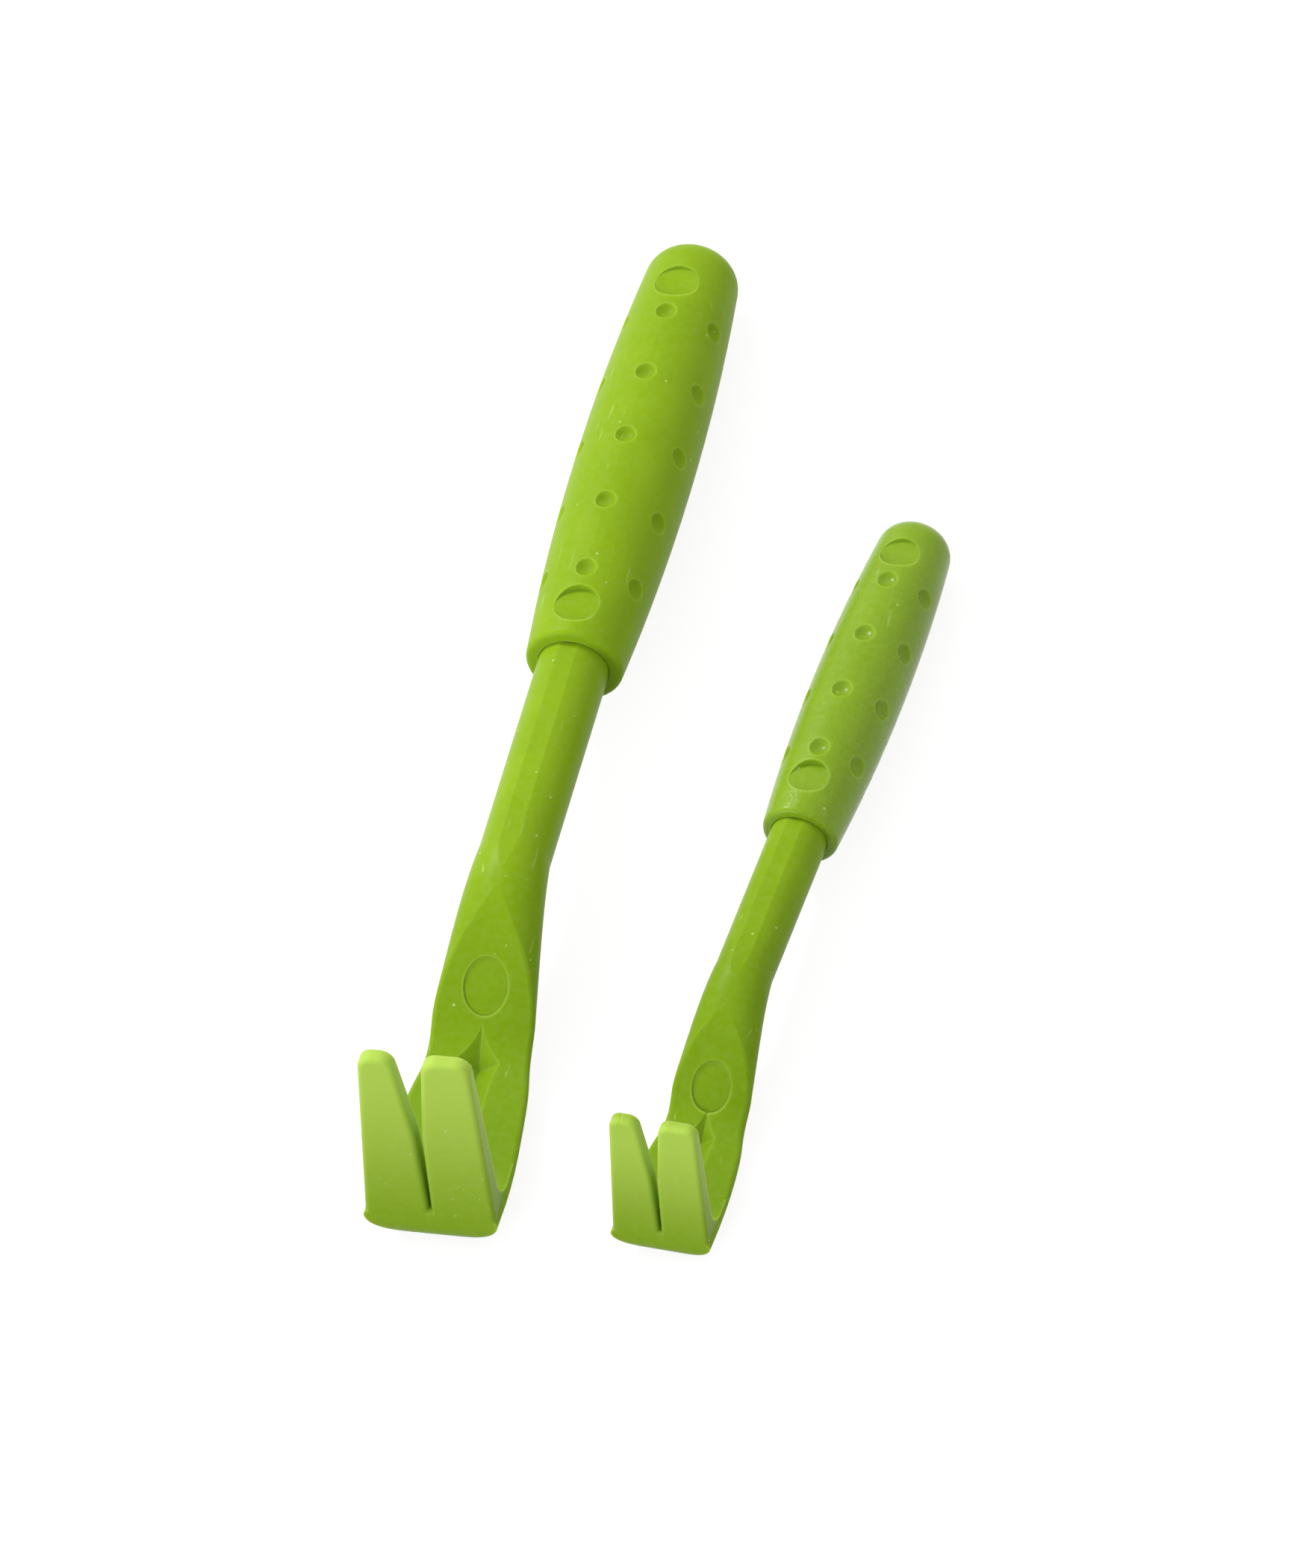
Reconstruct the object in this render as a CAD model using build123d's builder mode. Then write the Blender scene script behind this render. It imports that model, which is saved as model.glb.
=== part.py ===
"""A pair of hooked tick removers, one large and one small, lying on their backs.

Each tool is a hook moulding (fork, blade, shank and the tang inside the grip) and a
barrel grip moulded round the tang. A tool is drawn in its own frame: +Y runs from the
grip's mouth to its tail, +Z is the way that the tines point, and the origin is the
middle of the mouth. It is then laid on the ground, where it rests on the back of its
blade and on the belly of its grip.
"""
from build123d import *
from dataclasses import dataclass
from math import atan2, cos, degrees, pi, radians, sin, tan
import os


@dataclass(frozen=True)
class HookSizes:
    """Sizes of one hook moulding, in mm. Heights are from the shank's centre line."""

    shank_radius: float
    shank_length: float  # mouth to where the rounded back starts to fall
    back_level_at: float  # mouth to where the rounded back runs level again
    bend_at: float  # mouth to the corner where the inner face starts to fall
    level_at: float  # mouth to the corner where the inner face runs level again
    reach: float  # mouth to the front face of the fork, at the heel
    blade_height: float  # height of the blade's inner face where it runs level
    back_depth: float  # depth of the blade's rounded back on the level stretch
    face_bend: float  # radii of the inner face at the two ends of the fall
    face_level: float
    edge_drop: float  # widest line of the blade, below its inner face
    plate_sink: float  # how far the tines' plate runs down into the blade
    heel_half_width: float
    heel_corner: float  # inner corner between blade and tines
    tine_lean: float  # degrees that the tines lean back towards the grip
    tine_height: float
    tine_root_thickness: float
    tine_tip_thickness: float
    tip_half_width: float
    tip_corner: float  # corners of the tips, seen from the front
    crease_height: float  # where the front face ends and the toe turns under
    toe_height: float
    toe_turn: float  # degrees between the front face and the middle of the toe
    blade_rounding: float  # along both edges of the inner face
    tine_rounding: float  # round the front face and the slot
    slot_root_height: float
    slot_knee_height: float  # where the slot starts to open out
    slot_root_gap: float
    slot_knee_gap: float
    slot_tip_gap: float
    slot_lean: float  # how far aside of the middle the slot opens through the tips
    groove_start: float  # from the mouth to where the groove leaves the blade's face
    groove_full: float  # from the mouth to where the groove is at its full depth
    groove_depth: float
    mark_at: float
    mark_radius: float
    tang_radius: float
    tang_length: float
    collar_radius: float
    collar_width: float
    collar_count: int


@dataclass(frozen=True)
class GripSizes:
    """Sizes of one barrel grip, in mm."""

    length: float
    belly_at: float  # mouth to the widest place
    belly_radius: float
    mouth_radius: float
    tail_radius: float  # where the barrel meets the rounded tail
    tail_rounding: float
    mouth_rounding: float
    socket_depth: float  # how far the shank itself runs into the mouth
    dimple_radius: float
    dimple_depth: float
    dimple_rings: int
    first_ring: float
    ring_pitch: float
    mark_near_mouth: float
    mark_near_tail: float


LARGE_HOOK = HookSizes(
    shank_radius=1.83, shank_length=13.0, back_level_at=26.2, bend_at=16.1, level_at=22.9,
    reach=33.3, blade_height=-3.9, back_depth=1.6, face_bend=8.0, face_level=4.5,
    edge_drop=0.15, plate_sink=0.15, heel_half_width=3.45, heel_corner=1.3, tine_lean=9.0,
    tine_height=5.75, tine_root_thickness=1.25, tine_tip_thickness=0.7, tip_half_width=2.8,
    tip_corner=0.75, crease_height=-4.25, toe_height=1.3, toe_turn=25.0, blade_rounding=0.25,
    tine_rounding=0.3, slot_root_height=-3.6, slot_knee_height=1.0, slot_root_gap=0.12,
    slot_knee_gap=0.36, slot_tip_gap=1.55, slot_lean=0.35, groove_start=21.5,
    groove_full=23.3, groove_depth=0.65, mark_at=20.2, mark_radius=1.15, tang_radius=1.3,
    tang_length=22.0, collar_radius=1.6, collar_width=1.5, collar_count=3,
)
SMALL_HOOK = HookSizes(
    shank_radius=1.46, shank_length=9.2, back_level_at=19.0, bend_at=11.7, level_at=16.6,
    reach=24.1, blade_height=-2.95, back_depth=1.2, face_bend=6.0, face_level=3.4,
    edge_drop=0.12, plate_sink=0.12, heel_half_width=2.6, heel_corner=1.0, tine_lean=9.0,
    tine_height=4.0, tine_root_thickness=1.0, tine_tip_thickness=0.6, tip_half_width=2.2,
    tip_corner=0.55, crease_height=-3.2, toe_height=1.0, toe_turn=25.0, blade_rounding=0.25,
    tine_rounding=0.24, slot_root_height=-2.7, slot_knee_height=0.5, slot_root_gap=0.1,
    slot_knee_gap=0.3, slot_tip_gap=1.15, slot_lean=0.25, groove_start=16.1,
    groove_full=17.5, groove_depth=0.5, mark_at=15.3, mark_radius=1.0, tang_radius=1.0,
    tang_length=16.5, collar_radius=1.22, collar_width=1.2, collar_count=3,
)
LARGE_GRIP = GripSizes(
    length=28.75, belly_at=13.8, belly_radius=3.07, mouth_radius=2.5, tail_radius=2.3,
    tail_rounding=1.8, mouth_rounding=0.3, socket_depth=0.8, dimple_radius=0.72,
    dimple_depth=0.3, dimple_rings=5, first_ring=4.3, ring_pitch=4.57, mark_near_mouth=2.0,
    mark_near_tail=24.9,
)
SMALL_GRIP = GripSizes(
    length=21.05, belly_at=10.1, belly_radius=2.36, mouth_radius=1.94, tail_radius=1.8,
    tail_rounding=1.4, mouth_rounding=0.3, socket_depth=0.7, dimple_radius=0.72,
    dimple_depth=0.28, dimple_rings=4, first_ring=4.2, ring_pitch=3.92, mark_near_mouth=2.35,
    mark_near_tail=18.0,
)

MARK_DEPTH = 0.28
BLADE_MARK_DEPTH = 0.08
DIMPLE_ROWS = 6
BOND_GAP = 0.03  # between the hook moulding and the grip round it
GROOVE_HALF_ANGLE = 55.0
SHANK_FLAT = 0.06  # the inner face, carried on along the top of the shank
BACK_STATIONS = 10
CUT_MARGIN = 1.0
TILT_PASSES = 3
SIDE_SHARE = 0.15  # edges nearer the middle than this belong to the shank's flat
TOUCH = 0.001
PLATE_INSET = 0.12  # the tines' plate from the blade's widest line, on each side
TOE_BULGE = 0.12  # how far the toe's curve stands out, as a share of its height

SMALL_TOOL_ASIDE = 13.45  # small tool's mouth from the large one's
SMALL_TOOL_AHEAD = 8.8
SMALL_TOOL_YAW = 4.8


def blend(start, end, share):
    """Smooth step from start to end as share goes from 0 to 1."""
    share = min(max(share, 0.0), 1.0)
    return start + (end - start) * share * share * (3 - 2 * share)


def front_at(hook, height):
    """How far out the leaning front face of the fork is at a height."""
    return hook.reach - (height - hook.blade_height) * tan(radians(hook.tine_lean))


def inner_face(hook):
    """Side view of the inner face: shank top, falling blade, level blade."""
    top = hook.shank_radius - SHANK_FLAT
    return (CUT_MARGIN, top), (-hook.bend_at, top), (-hook.level_at, hook.blade_height)


def face_height(hook, out):
    """Height of the straight falling stretch of the inner face."""
    top = hook.shank_radius - SHANK_FLAT
    share = (out - hook.bend_at) / (hook.level_at - hook.bend_at)
    return top + (hook.blade_height - top) * share


def back_sections(hook):
    """Distance out, height and half axes of each ellipse that shapes the back."""
    level = hook.blade_height - hook.edge_drop
    heel_at = hook.reach - hook.tine_root_thickness - 2 * hook.heel_corner
    step = (hook.reach + CUT_MARGIN - hook.shank_length) / BACK_STATIONS
    sections = []
    for index in range(BACK_STATIONS + 1):
        out = hook.shank_length + index * step
        fall = (out - hook.shank_length) / (hook.back_level_at - hook.shank_length)
        widening = min((out - hook.shank_length) / (heel_at - hook.shank_length), 1.0)
        half_width = hook.shank_radius + (hook.heel_half_width - hook.shank_radius) * widening
        depth = blend(hook.shank_radius, hook.back_depth, fall)
        sections.append((out, blend(0, level, fall), half_width, depth))
    return sections


def tang_steps(hook, grip):
    """Start, length and radius of each round step of the tang and its collars."""
    steps = [(0, hook.tang_length, hook.tang_radius)]
    pitch = (hook.tang_length - grip.socket_depth) / hook.collar_count
    for index in range(hook.collar_count):
        start = grip.socket_depth + (index + 1) * pitch - hook.collar_width
        steps.append((start, hook.collar_width, hook.collar_radius))
    return steps


def make_hook(hook, grip):
    """Fork, blade, shank and tang as one moulding."""
    with BuildPart() as moulding:
        with BuildSketch(Plane.XZ.offset(-grip.socket_depth)):
            Circle(hook.shank_radius)
        extrude(amount=grip.socket_depth + hook.shank_length)
        for out, height, half_width, depth in back_sections(hook):
            with BuildSketch(Plane.XZ.offset(out)):
                with Locations((0, height)):
                    Ellipse(half_width, depth)
        loft()
        cut_inner_face(hook)
        fillet([edge for edge in moulding.edges() if along_blade(hook, edge)], hook.blade_rounding)
        add_tines(hook)
        trim_front(hook)
        cut_slot(hook)
        fillet([edge for edge in moulding.edges() if at_slot_mouth(hook, edge)], hook.tip_corner)
        fillet([edge for edge in moulding.edges() if on_front(hook, edge)], hook.tine_rounding)
        for start, length, radius in tang_steps(hook, grip):
            with BuildSketch(Plane.XZ.offset(-start)):
                Circle(radius)
            extrude(amount=-length)
        cut_groove(hook)
        cut_blade_mark(hook)
    return moulding.part


def along_blade(hook, edge):
    """Whether an edge runs along one side of the inner face."""
    box = edge.bounding_box()
    aside = abs(edge.center().X) > hook.shank_radius * SIDE_SHARE
    lengthwise = box.size.Y > box.size.X
    return aside and lengthwise and (box.min.Y < -hook.shank_length - TOUCH or box.min.Z > 0)


def at_slot_mouth(hook, edge):
    """Whether an edge is a corner where the slot opens through the tips."""
    middle = edge.center()
    beside_slot = abs(abs(middle.X + hook.slot_lean) - hook.slot_tip_gap / 2) < TOUCH
    return beside_slot and abs(middle.Z - hook.tine_height) < TOUCH


def on_front(hook, edge):
    """Whether an edge bounds the fork's front face above the blade."""
    points = [edge @ share for share in (0, 0.5, 1)]
    flat = all(abs(point.Y + front_at(hook, point.Z)) < TOUCH for point in points)
    return flat and edge.center().Z > hook.blade_height


def cut_inner_face(hook):
    """Flat inner face, with a soft bend at each end of its fall."""
    high = hook.shank_radius + CUT_MARGIN
    end = -hook.reach - 2 * CUT_MARGIN
    start, bend, level = inner_face(hook)
    with BuildSketch(Plane.YZ) as above:
        with BuildLine():
            FilletPolyline(
                start, bend, level, (end, hook.blade_height), radius=(hook.face_bend, hook.face_level)
            )
            Polyline((end, hook.blade_height), (end, high), (CUT_MARGIN, high), start)
        make_face()
    width = hook.heel_half_width + CUT_MARGIN
    extrude(above.sketch, amount=width, both=True, mode=Mode.SUBTRACT)


def add_tines(hook):
    """Leaning plate of the two tines, thinner at the tips, with a round inner corner."""
    foot = hook.blade_height - hook.plate_sink
    front_low = -front_at(hook, foot)
    front_high = -front_at(hook, hook.tine_height)
    inner_low = -front_at(hook, hook.blade_height) + hook.tine_root_thickness
    with BuildSketch(Plane.YZ) as side:
        with BuildLine():
            FilletPolyline(
                (front_high + hook.tine_tip_thickness, hook.tine_height),
                (inner_low, hook.blade_height),
                (inner_low + 2 * hook.heel_corner, hook.blade_height),
                radius=hook.heel_corner,
            )
            Polyline(
                (inner_low + 2 * hook.heel_corner, hook.blade_height),
                (inner_low + 2 * hook.heel_corner, foot),
                (front_low, foot),
                (front_high, hook.tine_height),
                (front_high + hook.tine_tip_thickness, hook.tine_height),
            )
        make_face()
    with BuildPart() as plate:
        extrude(side.sketch, amount=hook.heel_half_width, both=True)
        with BuildSketch(Plane.XZ) as front:
            with BuildLine():
                foot_half_width = hook.heel_half_width - PLATE_INSET
                right = [(foot_half_width, foot), (hook.tip_half_width, hook.tine_height)]
                left = [(-x, z) for x, z in reversed(right)]
                Polyline(*right, *left, close=True)
            make_face()
            fillet(front.vertices().group_by(Axis.Y)[-1], radius=hook.tip_corner)
        extrude(front.sketch, amount=hook.reach + CUT_MARGIN, mode=Mode.INTERSECT)
    add(plate.part)


def trim_front(hook):
    """Cut the blade off along the fork's front face, with a toe that turns under."""
    foot = hook.crease_height - hook.toe_height
    turn = radians(hook.toe_turn - hook.tine_lean)
    crease = -front_at(hook, hook.crease_height)
    tuck = crease + hook.toe_height * tan(turn)
    bulge = (crease + tuck) / 2 - TOE_BULGE * hook.toe_height
    low = foot - hook.back_depth
    end = -hook.reach - CUT_MARGIN - hook.back_depth
    with BuildSketch(Plane.YZ) as waste:
        with BuildLine():
            ThreePointArc(
                (crease, hook.crease_height),
                (bulge, (hook.crease_height + foot) / 2),
                (tuck, foot),
            )
            Polyline(
                (tuck, foot),
                (tuck + hook.back_depth, low),
                (end, low),
                (end, hook.tine_height),
                (-front_at(hook, hook.tine_height), hook.tine_height),
                (crease, hook.crease_height),
            )
        make_face()
    width = hook.heel_half_width + CUT_MARGIN
    extrude(waste.sketch, amount=width, both=True, mode=Mode.SUBTRACT)


def cut_slot(hook):
    """Slot between the tines, nearly closed below and opening out to the tips."""
    knee_share = hook.slot_knee_height - hook.slot_root_height
    knee_share /= hook.tine_height - hook.slot_root_height
    steps = [
        (0, hook.slot_root_gap, hook.slot_root_height),
        (-hook.slot_lean * knee_share, hook.slot_knee_gap, hook.slot_knee_height),
        (-hook.slot_lean, hook.slot_tip_gap, hook.tine_height),
        (-hook.slot_lean, hook.slot_tip_gap, hook.tine_height + CUT_MARGIN),
    ]
    right = [(middle + gap / 2, height) for middle, gap, height in steps]
    left = [(middle - gap / 2, height) for middle, gap, height in reversed(steps)]
    inside = front_at(hook, hook.tine_height) - hook.tine_tip_thickness - CUT_MARGIN
    with BuildSketch(Plane.XZ.offset(inside)) as slot:
        with BuildLine():
            Polyline(*right, *left, close=True)
        make_face()
    extrude(slot.sketch, amount=hook.reach - inside + CUT_MARGIN, mode=Mode.SUBTRACT)


def groove_section(hook, out, height):
    """V section of the groove, its point at the given place."""
    top = 2 * hook.back_depth
    half = top * tan(radians(GROOVE_HALF_ANGLE))
    with BuildSketch(Plane.XZ.offset(out)) as section:
        with BuildLine():
            Polyline((0, height), (half, height + top), (-half, height + top), close=True)
        make_face()
    return section.sketch


def cut_groove(hook):
    """V groove on the blade's inner face, running into the slot."""
    floor = hook.blade_height - hook.groove_depth
    end = hook.reach - hook.tine_root_thickness - hook.heel_corner
    sections = [
        groove_section(hook, hook.groove_start, face_height(hook, hook.groove_start)),
        groove_section(hook, hook.groove_full, floor),
        groove_section(hook, end, floor),
    ]
    loft(sections, ruled=True, mode=Mode.SUBTRACT)


def cut_blade_mark(hook):
    """Round flat on the falling stretch of the blade's inner face."""
    _, bend, level = inner_face(hook)
    slope = atan2(bend[1] - level[1], bend[0] - level[0])
    normal = Vector(0, -sin(slope), cos(slope))
    middle = Vector(0, -hook.mark_at, face_height(hook, hook.mark_at))
    floor = Plane(origin=middle - normal * BLADE_MARK_DEPTH, x_dir=(1, 0, 0), z_dir=normal)
    with BuildSketch(floor) as mark:
        Ellipse(hook.mark_radius, hook.mark_radius / cos(slope))
    extrude(mark.sketch, amount=CUT_MARGIN, dir=(0, 0, 1), mode=Mode.SUBTRACT)


def barrel_points(grip):
    """Three points of the barrel's side in the side view, from mouth to tail."""
    belly = (grip.belly_at, grip.belly_radius)
    return (0, grip.mouth_radius), belly, (grip.length, grip.tail_radius)


def make_grip(hook, grip):
    """Barrel grip with rows of dimples and two round flats on top."""
    mouth_top, belly_top, tail_top = barrel_points(grip)
    arc = ThreePointArc(mouth_top, belly_top, tail_top)
    centre = arc.arc_center

    def radius_at(at):
        return centre.Y + (arc.radius ** 2 - (at - centre.X) ** 2) ** 0.5

    with BuildPart() as moulding:
        with BuildSketch(Plane.YZ) as profile:
            with BuildLine():
                ThreePointArc(mouth_top, belly_top, tail_top)
                Polyline(tail_top, (grip.length, 0), (0, 0), mouth_top)
            make_face()
            mouth = profile.vertices().group_by(Axis.X)[0].sort_by(Axis.Y)[-1]
            fillet(mouth, radius=grip.mouth_rounding)
            tail = profile.vertices().group_by(Axis.X)[-1].sort_by(Axis.Y)[-1]
            fillet(tail, radius=grip.tail_rounding)
        revolve(axis=Axis.Y)
        socket = (0, grip.socket_depth, hook.shank_radius)
        for start, length, radius in (socket, *tang_steps(hook, grip)):
            with BuildSketch(Plane.XZ.offset(BOND_GAP - start)) as step:
                Circle(radius + BOND_GAP)
            extrude(step.sketch, amount=-length - 2 * BOND_GAP, mode=Mode.SUBTRACT)
        centres = []
        for ring in range(grip.dimple_rings):
            at = grip.first_ring + ring * grip.ring_pitch
            out = radius_at(at) + grip.dimple_radius - grip.dimple_depth
            for row in range(DIMPLE_ROWS):
                turn = 2 * pi * row / DIMPLE_ROWS
                centres.append((out * sin(turn), at, out * cos(turn)))
        with Locations(*centres):
            Sphere(grip.dimple_radius, mode=Mode.SUBTRACT)
        for at in (grip.mark_near_mouth, grip.mark_near_tail):
            with BuildSketch(Plane.XY.offset(radius_at(at) - MARK_DEPTH)) as mark:
                with Locations((0, at)):
                    Circle(hook.mark_radius)
            extrude(mark.sketch, amount=CUT_MARGIN, mode=Mode.SUBTRACT)
    return moulding.part


def resting_tilt(moulding, barrel, span):
    """Degrees that lift the tines so that blade and grip both touch the ground."""
    tilt = 0.0
    for _ in range(TILT_PASSES):
        turned = Rot(-tilt, 0, 0)
        step = (turned * barrel).bounding_box().min.Z - (turned * moulding).bounding_box().min.Z
        tilt += degrees(atan2(step, span))
    return tilt


def lay_down(moulding, barrel, hook, grip, aside, ahead, yaw):
    """Place of one tool, at rest on the ground and turned about the vertical."""
    tilt = resting_tilt(moulding, barrel, hook.reach + grip.belly_at)
    low = (Rot(-tilt, 0, 0) * barrel).bounding_box().min.Z
    return Pos(aside, -ahead, -low) * Rot(0, 0, -yaw) * Rot(-tilt, 0, 0)


large_moulding = make_hook(LARGE_HOOK, LARGE_GRIP)
large_barrel = make_grip(LARGE_HOOK, LARGE_GRIP)
small_moulding = make_hook(SMALL_HOOK, SMALL_GRIP)
small_barrel = make_grip(SMALL_HOOK, SMALL_GRIP)

large_place = lay_down(large_moulding, large_barrel, LARGE_HOOK, LARGE_GRIP, 0, 0, 0)
small_place = lay_down(
    small_moulding, small_barrel, SMALL_HOOK, SMALL_GRIP,
    SMALL_TOOL_ASIDE, SMALL_TOOL_AHEAD, SMALL_TOOL_YAW,
)
laid = {
    "large_hook": large_place * large_moulding,
    "large_grip": large_place * large_barrel,
    "small_hook": small_place * small_moulding,
    "small_grip": small_place * small_barrel,
}
pair_box = Compound(list(laid.values())).bounding_box()
to_origin = Pos(-pair_box.center().X, -pair_box.center().Y, -pair_box.min.Z)

os.makedirs("parts", exist_ok=True)
for name, piece in laid.items():
    placed = to_origin * piece
    placed.label = name
    export_step(placed, f"parts/{name}.step")
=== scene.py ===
"""Two hooked tick removers, a large one and a small one, in satin green plastic.

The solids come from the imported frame. This script gives each of them its finish, and
sets up the floor, the light and the camera. Lengths are in metres, and patterns are
drawn in the frame's own axes: -Y is where the forks point, and +Z is up.
"""
from __future__ import annotations

import logging
import math
from dataclasses import dataclass
from enum import Enum

import bmesh
import bpy
from mathutils import Matrix, Vector


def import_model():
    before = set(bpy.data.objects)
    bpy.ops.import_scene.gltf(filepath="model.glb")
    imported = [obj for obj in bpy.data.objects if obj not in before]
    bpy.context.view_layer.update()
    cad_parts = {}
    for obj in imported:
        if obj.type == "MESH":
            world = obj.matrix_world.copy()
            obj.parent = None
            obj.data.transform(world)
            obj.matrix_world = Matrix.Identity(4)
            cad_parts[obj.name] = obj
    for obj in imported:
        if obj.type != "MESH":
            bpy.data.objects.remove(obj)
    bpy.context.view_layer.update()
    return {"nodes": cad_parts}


LOG = logging.getLogger("tick_removers")
MM = 0.001
WHITE = (1.0, 1.0, 1.0, 1.0)
SMOOTH = 1.0  # detail of a noise with no finer layers

Colour = tuple[float, float, float]
Socket = bpy.types.NodeSocket


class Part(Enum):
    """The two mouldings that make up a tool."""

    HOOK = "hook"
    GRIP = "grip"


class Signal:
    """A number socket that grows Math nodes when operators meet it."""

    def __init__(self, sketch: "Sketch", socket: Socket) -> None:
        """Wrap one output socket of a sketch's tree.

        Args:
            sketch: The tree that new nodes go into.
            socket: The output to wrap.
        """
        self.sketch = sketch
        self.socket = socket

    def maths(self, operation: str, *others: "Signal | float", first: bool = True) -> "Signal":
        """Add one Math node.

        Args:
            operation: The node's operation, such as MULTIPLY.
            others: The other values, numbers or signals.
            first: Whether this signal is the node's first value.

        Returns:
            The node's result.
        """
        values = [self, *others] if first else [*others, self]
        inputs = dict(enumerate(values))
        return self.sketch.signal("ShaderNodeMath", 0, {"operation": operation}, inputs)

    def __add__(self, other: "Signal | float") -> "Signal":
        """This plus other."""
        return self.maths("ADD", other)

    def __sub__(self, other: "Signal | float") -> "Signal":
        """This minus other."""
        return self.maths("SUBTRACT", other)

    def __rsub__(self, other: float) -> "Signal":
        """Other minus this."""
        return self.maths("SUBTRACT", other, first=False)

    def __mul__(self, other: "Signal | float") -> "Signal":
        """This times other."""
        return self.maths("MULTIPLY", other)

    __radd__ = __add__
    __rmul__ = __mul__

    def above(self, edge: float) -> "Signal":
        """One where this is greater than the edge, else zero."""
        return self.maths("GREATER_THAN", edge)

    def larger(self, other: "Signal | float") -> "Signal":
        """The larger of this and other."""
        return self.maths("MAXIMUM", other)

    def step(self, low: float, high: float) -> "Signal":
        """Step smoothly between two edges.

        Args:
            low: Where the result is zero.
            high: Where the result is one; it may be less than low.

        Returns:
            The step.
        """
        return self.sketch.signal(
            "ShaderNodeMapRange",
            "Result",
            {"interpolation_type": "SMOOTHSTEP"},
            {"Value": self, "From Min": low, "From Max": high},
        )


class Sketch:
    """A material's or the world's node tree, built node by node."""

    def __init__(self, tree: bpy.types.NodeTree) -> None:
        """Start from an empty tree.

        Args:
            tree: The tree to clear and fill.
        """
        tree.nodes.clear()
        self.tree = tree

    def node(
        self, kind: str, settings: dict | None = None, inputs: dict | None = None
    ) -> bpy.types.Node:
        """Add one node.

        Args:
            kind: The node's type.
            settings: Its properties, set before its sockets.
            inputs: Values or links by socket name or number.

        Returns:
            The new node.
        """
        made = self.tree.nodes.new(kind)
        for name, value in (settings or {}).items():
            setattr(made, name, value)
        for name, value in (inputs or {}).items():
            socket = made.inputs[name]
            source = value.socket if isinstance(value, Signal) else value
            if isinstance(source, Socket):
                self.tree.links.new(source, socket)
            else:
                socket.default_value = source
        return made

    def signal(
        self,
        kind: str,
        output: str | int,
        settings: dict | None = None,
        inputs: dict | None = None,
    ) -> Signal:
        """Add one node and wrap one of its outputs.

        Args:
            kind: The node's type.
            output: The output's name or number.
            settings: The node's properties.
            inputs: Values or links by socket name or number.

        Returns:
            The wrapped output.
        """
        return Signal(self, self.node(kind, settings, inputs).outputs[output])

    def mix(self, factor: Signal, low: Colour | Socket, high: Colour | Socket) -> Socket:
        """Mix two colours.

        Args:
            factor: Zero for low, one for high.
            low: The first colour or colour socket.
            high: The second.

        Returns:
            The mixed colour's socket.
        """
        ends = [end if isinstance(end, Socket) else (*end, 1.0) for end in (low, high)]
        inputs = {0: factor, 6: ends[0], 7: ends[1]}
        return self.node("ShaderNodeMix", {"data_type": "RGBA"}, inputs).outputs[2]

    def place(self) -> Socket:
        """Place on the object, in metres."""
        return self.node("ShaderNodeTexCoord").outputs["Object"]

    def along(self, axis: str) -> Signal:
        """Place along one of the object's axes, X, Y or Z."""
        inputs = {"Vector": self.place()}
        return self.signal("ShaderNodeSeparateXYZ", axis, None, inputs)

    def noise(self, width: float, detail: float = 2.0, stretch: Colour = (1, 1, 1)) -> Signal:
        """Cloudy noise from zero to one.

        Args:
            width: Rough width of one cloud, in metres.
            detail: How many finer layers it has.
            stretch: Scale along each axis; less than one draws the clouds out.

        Returns:
            The noise.
        """
        inputs = {"Vector": self.place(), "Scale": stretch}
        spread = self.node("ShaderNodeMapping", None, inputs).outputs[0]
        inputs = {"Vector": spread, "Scale": 1 / width, "Detail": detail}
        return self.signal("ShaderNodeTexNoise", "Fac", None, inputs)

    def cells(self, pitch: float) -> bpy.types.Node:
        """Voronoi cells of a pitch in metres."""
        return self.node(
            "ShaderNodeTexVoronoi", None, {"Vector": self.place(), "Scale": 1 / pitch}
        )

    def seen(self) -> Signal:
        """One for rays that show the surroundings: camera, glossy and transmitted."""
        path = self.node("ShaderNodeLightPath")
        camera = Signal(self, path.outputs["Is Camera Ray"])
        glossy = Signal(self, path.outputs["Is Glossy Ray"])
        return camera.larger(glossy).larger(Signal(self, path.outputs["Is Transmission Ray"]))


@dataclass(frozen=True)
class Reach:
    """How far a hook moulding comes forward and up."""

    front: float
    top: float

    @classmethod
    def of(cls, solid: bpy.types.Object) -> "Reach":
        """Measure a solid.

        Args:
            solid: The hook moulding.

        Returns:
            Its reach.
        """
        corners = [solid.matrix_world @ Vector(corner) for corner in solid.bound_box]
        return cls(min(corner.y for corner in corners), max(corner.z for corner in corners))


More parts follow.
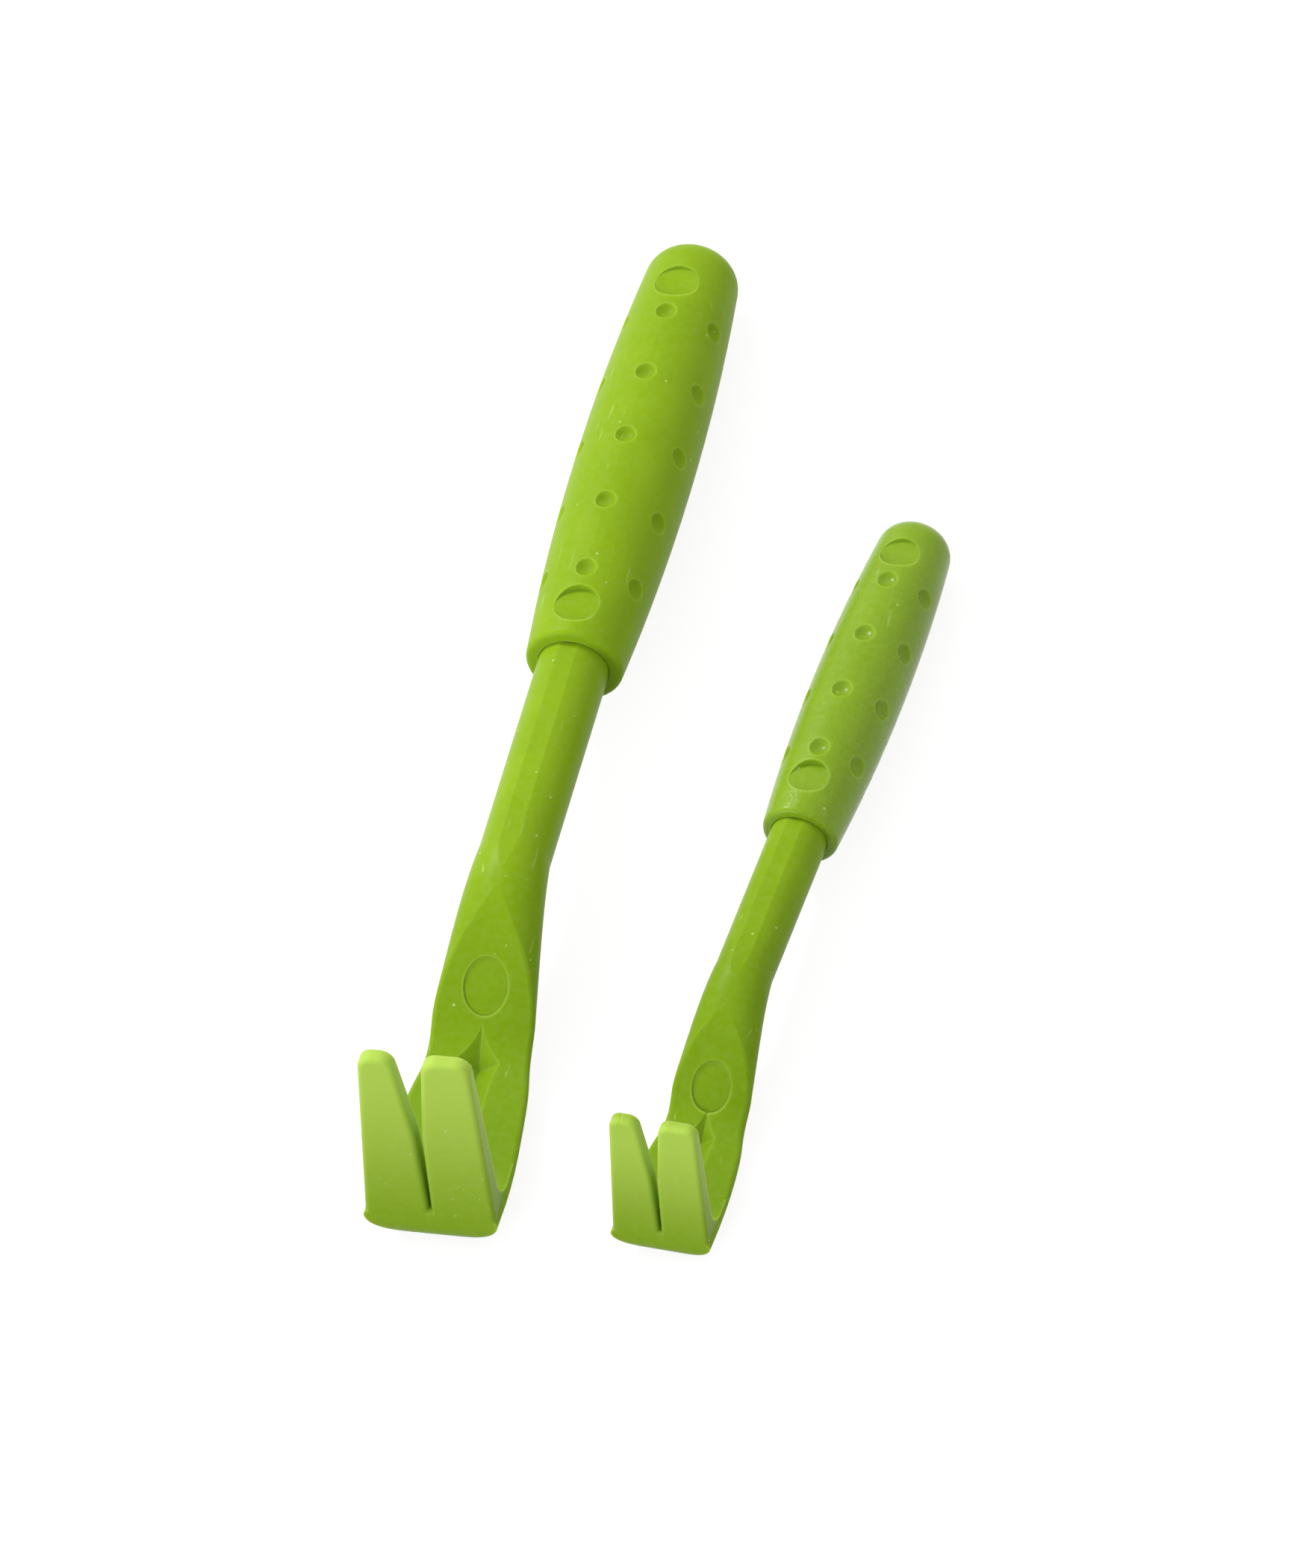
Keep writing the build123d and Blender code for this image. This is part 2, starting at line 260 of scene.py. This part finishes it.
class Pattern:
    """Masks that the colour, the roughness and the relief of one plastic share."""

    CLOUD_WIDTH = 3.5 * MM
    CLOUD_EDGES = (0.35, 0.65)
    GRAIN_WIDTH = 0.35 * MM
    GRAIN_DETAIL = 3.0
    GRAIN_EDGES = (0.3, 0.7)
    SPECK_PITCH = 0.9 * MM
    SPECK_SHARE = 0.28  # of the cells that hold a speck
    SPECK_EDGES = (0.11, 0.05)  # of a cell's width
    STREAK_WIDTH = 0.22 * MM
    STREAK_DRAW = (1, 0.06, 1)  # drawn out along the tools
    STREAK_EDGES = (0.70, 0.76)
    PATCH_WIDTH = 2.5 * MM  # of the patches that hold streaks
    PATCH_EDGES = (0.5, 0.6)

    def __init__(self, sketch: Sketch) -> None:
        """Draw the masks.

        Args:
            sketch: The material's tree.
        """
        self.cloud = sketch.noise(self.CLOUD_WIDTH).step(*self.CLOUD_EDGES)
        grain = sketch.noise(self.GRAIN_WIDTH, self.GRAIN_DETAIL)
        self.grain = grain.step(*self.GRAIN_EDGES)
        cell = sketch.cells(self.SPECK_PITCH)
        inputs = {"Color": cell.outputs["Color"]}
        lot = sketch.signal("ShaderNodeSeparateColor", "Red", None, inputs)
        dot = Signal(sketch, cell.outputs["Distance"]).step(*self.SPECK_EDGES)
        self.speck = dot * lot.above(1 - self.SPECK_SHARE)
        line = sketch.noise(self.STREAK_WIDTH, SMOOTH, self.STREAK_DRAW).step(*self.STREAK_EDGES)
        self.streak = line * sketch.noise(self.PATCH_WIDTH).step(*self.PATCH_EDGES)


@dataclass(frozen=True)
class SatinPlastic:
    """Slightly translucent moulded plastic with a fine satin texture."""

    name: str
    colour: Colour
    shade: Colour  # the slightly darker half of the clouds
    roughness: float
    gloss: float = 0.07
    pitted: bool = False
    paints_shade_and_glow: bool = False  # painted shade on the blade, where the tines shade it, and painted glow up the thin tines, where light shows through
    worn: Colour = (0.55, 0.74, 0.24)
    painted_blade_shade: Colour = (0.190, 0.330, 0.004)
    painted_light_green: Colour = (0.46, 0.66, 0.095)

    BLADE_SHADE_FADE = (-9.0 * MM, -18.0 * MM)
    BLADE_SHADE_TINT = 0.7  # the tints say how much of a second colour is mixed in
    TINE_SHARE = 0.36  # of the hook's height, from its front to where the tines end
    TINE_FADE = 1.5 * MM
    TIP_GLOW_TINT = 0.95
    EDGE_WIDTH = 0.22 * MM
    EDGE_BEND = (0.99, 0.92)  # cosines of the turn where the painted highlight starts and is full
    EDGE_HIGHLIGHT_TINT = 0.35
    GRAIN_TINT = 0.05
    SPECK_TINT = 0.7
    STREAK_TINT = 0.5  # of a speck's
    GRAIN_ROUGHNESS = 0.08
    SPECK_ROUGHNESS = 0.1
    SATIN_WIDTH = 0.09 * MM
    SATIN_HEIGHT = 0.002  # heights are in millimetres
    WAVE_WIDTH = 1.6 * MM
    WAVE_HEIGHT = 0.012
    SPECK_HEIGHT = 0.008
    STREAK_DEPTH = 0.006
    PIT_PITCH = 0.45 * MM
    PIT_EDGES = (0.32, 0.12)  # of a cell's width
    PIT_DEPTH = 0.006
    PEBBLE_WIDTH = 0.16 * MM
    PEBBLE_HEIGHT = 0.016
    IOR = 1.49
    SCATTER_WEIGHT = 0.3
    SCATTER_RADII = (1.0, 1.2, 0.35)
    SCATTER_DEPTH = 0.8 * MM

    def blade(self, sketch: Sketch) -> Signal:
        """Mask of the painted shade: one on the blade, falling to zero along the shank."""
        return sketch.along("Y").step(*self.BLADE_SHADE_FADE)

    def tips(self, sketch: Sketch, reach: Reach) -> Signal:
        """Mask of the painted glow on the thin tines, where light shows through.

        Args:
            sketch: The material's tree.
            reach: The hook's reach.

        Returns:
            One at the tips, falling to zero at the heel.
        """
        inner = reach.front + self.TINE_SHARE * reach.top
        ahead = sketch.along("Y").step(inner, inner - self.TINE_FADE)
        return sketch.along("Z").step(0.0, reach.top) * ahead

    def edges(self, sketch: Sketch) -> Signal:
        """Mask of the painted highlight, one along the sharp and rounded edges."""
        soft = sketch.node("ShaderNodeBevel", {"samples": 4}, {"Radius": self.EDGE_WIDTH})
        own = sketch.node("ShaderNodeNewGeometry")
        bend = sketch.signal(
            "ShaderNodeVectorMath",
            "Value",
            {"operation": "DOT_PRODUCT"},
            {0: soft.outputs[0], 1: own.outputs["Normal"]},
        )
        return bend.step(*self.EDGE_BEND)

    def base_colour(self, sketch: Sketch, pattern: Pattern, reach: Reach) -> Socket:
        """Colour of the plastic, with painted shade, painted glow and painted highlights.

        Args:
            sketch: The material's tree.
            pattern: Its masks.
            reach: The moulding's reach.

        Returns:
            The colour's socket.
        """
        base = sketch.mix(pattern.cloud, self.shade, self.colour)
        if self.paints_shade_and_glow:
            # painted shade: darker on the blade, where the tines shade it
            base = sketch.mix(self.blade(sketch) * self.BLADE_SHADE_TINT, base, self.painted_blade_shade)
            # painted glow: paler up the thin tines, where light shows through
            base = sketch.mix(self.tips(sketch, reach) * self.TIP_GLOW_TINT, base, self.painted_light_green)
        # painted highlight: paler along the edges
        base = sketch.mix(self.edges(sketch) * self.EDGE_HIGHLIGHT_TINT, base, self.painted_light_green)
        base = sketch.mix(pattern.grain * self.GRAIN_TINT, base, self.worn)
        wear = pattern.speck.larger(pattern.streak * self.STREAK_TINT)
        return sketch.mix(wear * self.SPECK_TINT, base, self.worn)

    def relief(self, sketch: Sketch, pattern: Pattern) -> Signal:
        """Height of the fine texture, in millimetres.

        Args:
            sketch: The material's tree.
            pattern: Its masks.

        Returns:
            The height.
        """
        height = sketch.noise(self.SATIN_WIDTH) * self.SATIN_HEIGHT
        height += sketch.noise(self.WAVE_WIDTH, SMOOTH) * self.WAVE_HEIGHT
        height += pattern.speck * self.SPECK_HEIGHT
        height -= pattern.streak * self.STREAK_DEPTH
        if self.pitted:
            middle = Signal(sketch, sketch.cells(self.PIT_PITCH).outputs["Distance"])
            height -= middle.step(*self.PIT_EDGES) * self.PIT_DEPTH
            height += sketch.noise(self.PEBBLE_WIDTH, SMOOTH) * self.PEBBLE_HEIGHT
        return height

    def dullness(self, pattern: Pattern) -> Signal:
        """Roughness of the plastic, which the grain and the specks vary."""
        varied = self.roughness + (pattern.grain - 0.5) * self.GRAIN_ROUGHNESS
        return varied + pattern.speck * self.SPECK_ROUGHNESS

    def material(self, reach: Reach) -> bpy.types.Material:
        """Build the material.

        Args:
            reach: How far the moulding comes forward and up.

        Returns:
            The material.
        """
        made = bpy.data.materials.new(self.name)
        made.use_nodes = True
        sketch = Sketch(made.node_tree)
        pattern = Pattern(sketch)
        bump = sketch.node(
            "ShaderNodeBump",
            None,
            {"Height": self.relief(sketch, pattern), "Distance": MM, "Strength": 1.0},
        )
        surface = sketch.node(
            "ShaderNodeBsdfPrincipled",
            {"subsurface_method": "RANDOM_WALK"},
            {
                "Base Color": self.base_colour(sketch, pattern, reach),
                "Roughness": self.dullness(pattern),
                "Normal": bump.outputs[0],
                "IOR": self.IOR,
                "Specular IOR Level": self.gloss,
                "Subsurface Weight": self.SCATTER_WEIGHT,
                "Subsurface Radius": self.SCATTER_RADII,
                "Subsurface Scale": self.SCATTER_DEPTH,
            },
        )
        sketch.node("ShaderNodeOutputMaterial", None, {"Surface": surface.outputs[0]})
        return made


LARGE_HOOK_PLASTIC = SatinPlastic(
    "large_hook_plastic", (0.262, 0.430, 0.006), (0.245, 0.408, 0.005), 0.36, paints_shade_and_glow=True
)
LARGE_GRIP_PLASTIC = SatinPlastic(
    "large_grip_plastic", (0.262, 0.430, 0.006), (0.245, 0.408, 0.005), 0.40
)
SMALL_HOOK_PLASTIC = SatinPlastic(
    "small_hook_plastic", (0.248, 0.412, 0.006), (0.230, 0.385, 0.005), 0.36, paints_shade_and_glow=True
)
SMALL_GRIP_PLASTIC = SatinPlastic(
    "small_grip_plastic",
    (0.240, 0.402, 0.006),
    (0.222, 0.375, 0.005),
    0.26,
    gloss=0.22,
    pitted=True,
)


@dataclass(frozen=True)
class TickRemover:
    """One tool: a forked hook moulding held in a dimpled grip."""

    size: str
    finishes: dict[Part, SatinPlastic]

    def dress(self, nodes: dict[str, bpy.types.Object]) -> None:
        """Give both mouldings of the tool their finish.

        Args:
            nodes: The frame's solids by name.
        """
        for part, finish in self.finishes.items():
            solid = nodes[f"{self.size}_{part.value}"]
            material = finish.material(Reach.of(solid))
            for slot in solid.material_slots:
                slot.material = material
            LOG.info("%s: %s", solid.name, finish.name)


@dataclass(frozen=True)
class Lamp:
    """One square soft lamp, pointed at the tools."""

    name: str
    place: Colour
    width: float
    watts: float
    aim: Colour = (0.0, 0.0, 0.004)

    def hang(self) -> None:
        """Put the lamp in the scene."""
        light = bpy.data.lights.new(self.name, "AREA")
        light.size = self.width
        light.energy = self.watts
        holder = bpy.data.objects.new(self.name, light)
        holder.location = self.place
        beam = Vector(self.aim) - Vector(self.place)
        holder.rotation_euler = beam.to_track_quat("-Z", "Y").to_euler()
        bpy.context.scene.collection.objects.link(holder)


@dataclass(frozen=True)
class Studio:
    """Pale floor and soft light."""

    floor_width: float = 6.0
    floor_grey: float = 0.26
    floor_glow: float = 0.86
    ambient: float = 0.7
    lamps: tuple[Lamp, ...] = (
        Lamp("key_lamp", (-0.30, 0.20, 0.38), 0.12, 1.5),
        Lamp("front_lamp", (-0.30, -0.50, 0.10), 0.30, 1.7),
    )

    def floor(self) -> None:
        """Lay a plain pale floor under the tools."""
        mesh = bpy.data.meshes.new("floor")
        shape = bmesh.new()
        bmesh.ops.create_grid(shape, x_segments=1, y_segments=1, size=self.floor_width / 2)
        shape.to_mesh(mesh)
        shape.free()
        plane = bpy.data.objects.new("floor", mesh)
        bpy.context.scene.collection.objects.link(plane)
        material = bpy.data.materials.new("floor_paper")
        material.use_nodes = True
        sketch = Sketch(material.node_tree)
        grey = (*(self.floor_grey,) * 3, 1.0)
        matte = sketch.node("ShaderNodeBsdfDiffuse", None, {"Color": grey})
        strength = sketch.seen() * self.floor_glow
        glow = sketch.node("ShaderNodeEmission", None, {"Strength": strength})
        shaders = {0: matte.outputs[0], 1: glow.outputs[0]}
        both = sketch.node("ShaderNodeAddShader", None, shaders)
        sketch.node("ShaderNodeOutputMaterial", None, {"Surface": both.outputs[0]})
        mesh.materials.append(material)

    def world(self) -> None:
        """Surround the tools with even white light."""
        world = bpy.data.worlds.new("white_room")
        world.use_nodes = True
        sketch = Sketch(world.node_tree)
        strength = self.ambient + sketch.seen() * (1 - self.ambient)
        sky = sketch.node("ShaderNodeBackground", None, {"Color": WHITE, "Strength": strength})
        sketch.node("ShaderNodeOutputWorld", None, {"Surface": sky.outputs[0]})
        bpy.context.scene.world = world

    def build(self) -> None:
        """Build the floor, the world and the lamps."""
        self.floor()
        self.world()
        for lamp in self.lamps:
            lamp.hang()
        bpy.context.scene.view_settings.view_transform = "Standard"


@dataclass(frozen=True)
class Viewpoint:
    """A long lens looking down at the tools from the front right; angles in degrees."""

    azimuth: float = 21.56
    elevation: float = 50.0
    roll: float = -11.79
    distance: float = 0.6216
    aim: Colour = (-0.001346, -0.004553, 0.004037)
    lens: float = 345.49
    sensor: float = 36.0
    clip: tuple[float, float] = (0.01, 100.0)

    def camera(self) -> None:
        """Build the camera and make it the scene's own."""
        data = bpy.data.cameras.new("camera")
        data.sensor_fit = "HORIZONTAL"
        data.sensor_width = self.sensor
        data.lens = self.lens
        data.clip_start, data.clip_end = self.clip
        across, up = math.radians(self.azimuth), math.radians(self.elevation)
        level = Vector((math.sin(across), -math.cos(across), 0.0)) * math.cos(up)
        back = level + Vector((0.0, 0.0, math.sin(up)))
        turn = back.to_track_quat("Z", "Y").to_matrix()
        turn = turn @ Matrix.Rotation(math.radians(self.roll), 3, "Z")
        place = Vector(self.aim) + back * self.distance
        holder = bpy.data.objects.new("camera", data)
        holder.matrix_world = Matrix.Translation(place) @ turn.to_4x4()
        bpy.context.scene.collection.objects.link(holder)
        bpy.context.scene.camera = holder


def main() -> None:
    """Build everything in order."""
    logging.basicConfig(level=logging.INFO)
    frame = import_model()
    Viewpoint().camera()
    Studio().build()
    tools = (
        TickRemover("large", {Part.HOOK: LARGE_HOOK_PLASTIC, Part.GRIP: LARGE_GRIP_PLASTIC}),
        TickRemover("small", {Part.HOOK: SMALL_HOOK_PLASTIC, Part.GRIP: SMALL_GRIP_PLASTIC}),
    )
    for tool in tools:
        tool.dress(frame["nodes"])


if __name__ == "__main__":
    main()
